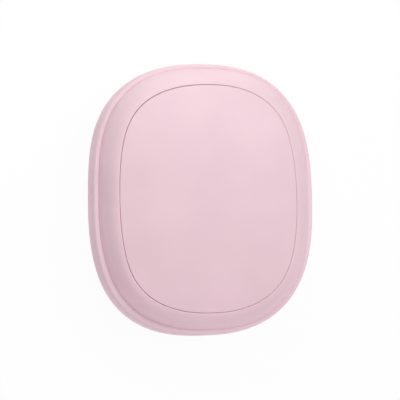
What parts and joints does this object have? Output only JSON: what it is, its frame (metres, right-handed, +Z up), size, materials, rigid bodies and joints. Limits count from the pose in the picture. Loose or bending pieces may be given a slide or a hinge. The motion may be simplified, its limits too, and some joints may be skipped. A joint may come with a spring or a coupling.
{
  "type": "rechargeable hand warmer",
  "caption": "Palm-size pebble hand warmer: two crowned heating plates set flush in a two-part shell, with cells, board, charging socket and a side button inside.",
  "frame": {"origin": "middle of the rear plate's flat resting face", "axes": "+Z up through the front plate; +Y along the length, away from the charging socket; +X across, towards the power button"},
  "size_m": [0.0754, 0.09, 0.027],
  "materials": {
    "shell": "matte pale pink moulded ABS with a soft-touch coat",
    "plate": "aluminium heating plate, sprayed matte pale pink",
    "button": "matte pink moulded plastic",
    "adhesive": "black foam tape",
    "heater_film": "amber polyimide film",
    "heater_track": "etched foil track",
    "foam": "closed-cell silicone foam",
    "cell": "steel can in blue shrink wrap",
    "holder": "off-white moulded plastic",
    "nickel": "plain nickel strip",
    "board": "green solder mask",
    "screw": "zinc-plated steel",
    "socket_metal": "bright stamped steel",
    "black_plastic": "black moulded plastic",
    "lamp": "clear lamp body",
    "light_guide": "clear moulded plastic",
    "ferrite": "dark grey ferrite",
    "ceramic_tan": "tan ceramic",
    "lead_red": "silicone wire insulation",
    "lead_black": "silicone wire insulation",
    "lead_white": "silicone wire insulation"
  },
  "bodies": {
    "case": {"rear_shell": "shell", "front_shell": "shell", "front_plate": "plate", "rear_plate": "plate", "front_plate_adhesive": "adhesive", "rear_plate_adhesive": "adhesive", "front_heater_film": "heater_film", "rear_heater_film": "heater_film", "front_heater_track": "heater_track", "rear_heater_track": "heater_track", "front_foam_pad": "foam", "rear_foam_pad": "foam", "cell_left": "cell", "cell_right": "cell", "cell_holder": "holder", "negative_strip": "nickel", "positive_strip": "nickel", "main_board": "board", "case_screw_1": "screw", "case_screw_2": "screw", "case_screw_3": "screw", "case_screw_4": "screw", "board_screw_1": "screw", "board_screw_2": "screw", "board_screw_3": "screw", "socket_shell": "socket_metal", "socket_tongue": "black_plastic", "switch_body": "black_plastic", "status_lamp_1": "lamp", "status_lamp_2": "lamp", "status_lamp_3": "lamp", "status_lamp_4": "lamp", "light_guide": "light_guide", "charge_chip": "black_plastic", "control_chip": "black_plastic", "power_inductor": "ferrite", "heater_transistor_1": "black_plastic", "heater_transistor_2": "black_plastic", "capacitor_1": "ceramic_tan", "capacitor_2": "ceramic_tan", "capacitor_3": "ceramic_tan", "battery_connector": "holder", "battery_lead_negative": "lead_black", "battery_lead_positive": "lead_red", "front_heater_lead_1": "lead_white", "front_heater_lead_2": "lead_white", "rear_heater_lead_1": "lead_white", "rear_heater_lead_2": "lead_white", "thermistor": "ceramic_tan"},
    "button": {"power_button": "button"},
    "plunger": {"switch_plunger": "black_plastic"}
  },
  "joints": [
    {"name": "button_press", "type": "slide", "parent": "case", "child": "button", "axis": [-1, 0, 0], "range_m": [0, 0.0005], "stiffness_N_per_m": 500, "springref_m": -0.0005},
    {"name": "plunger_press", "type": "slide", "parent": "case", "child": "plunger", "axis": [-1, 0, 0], "range_m": [0, 0.0005]}
  ],
  "couplings": [
    {"joint": "plunger_press", "follows": "button_press", "ratio": 1}
  ]
}
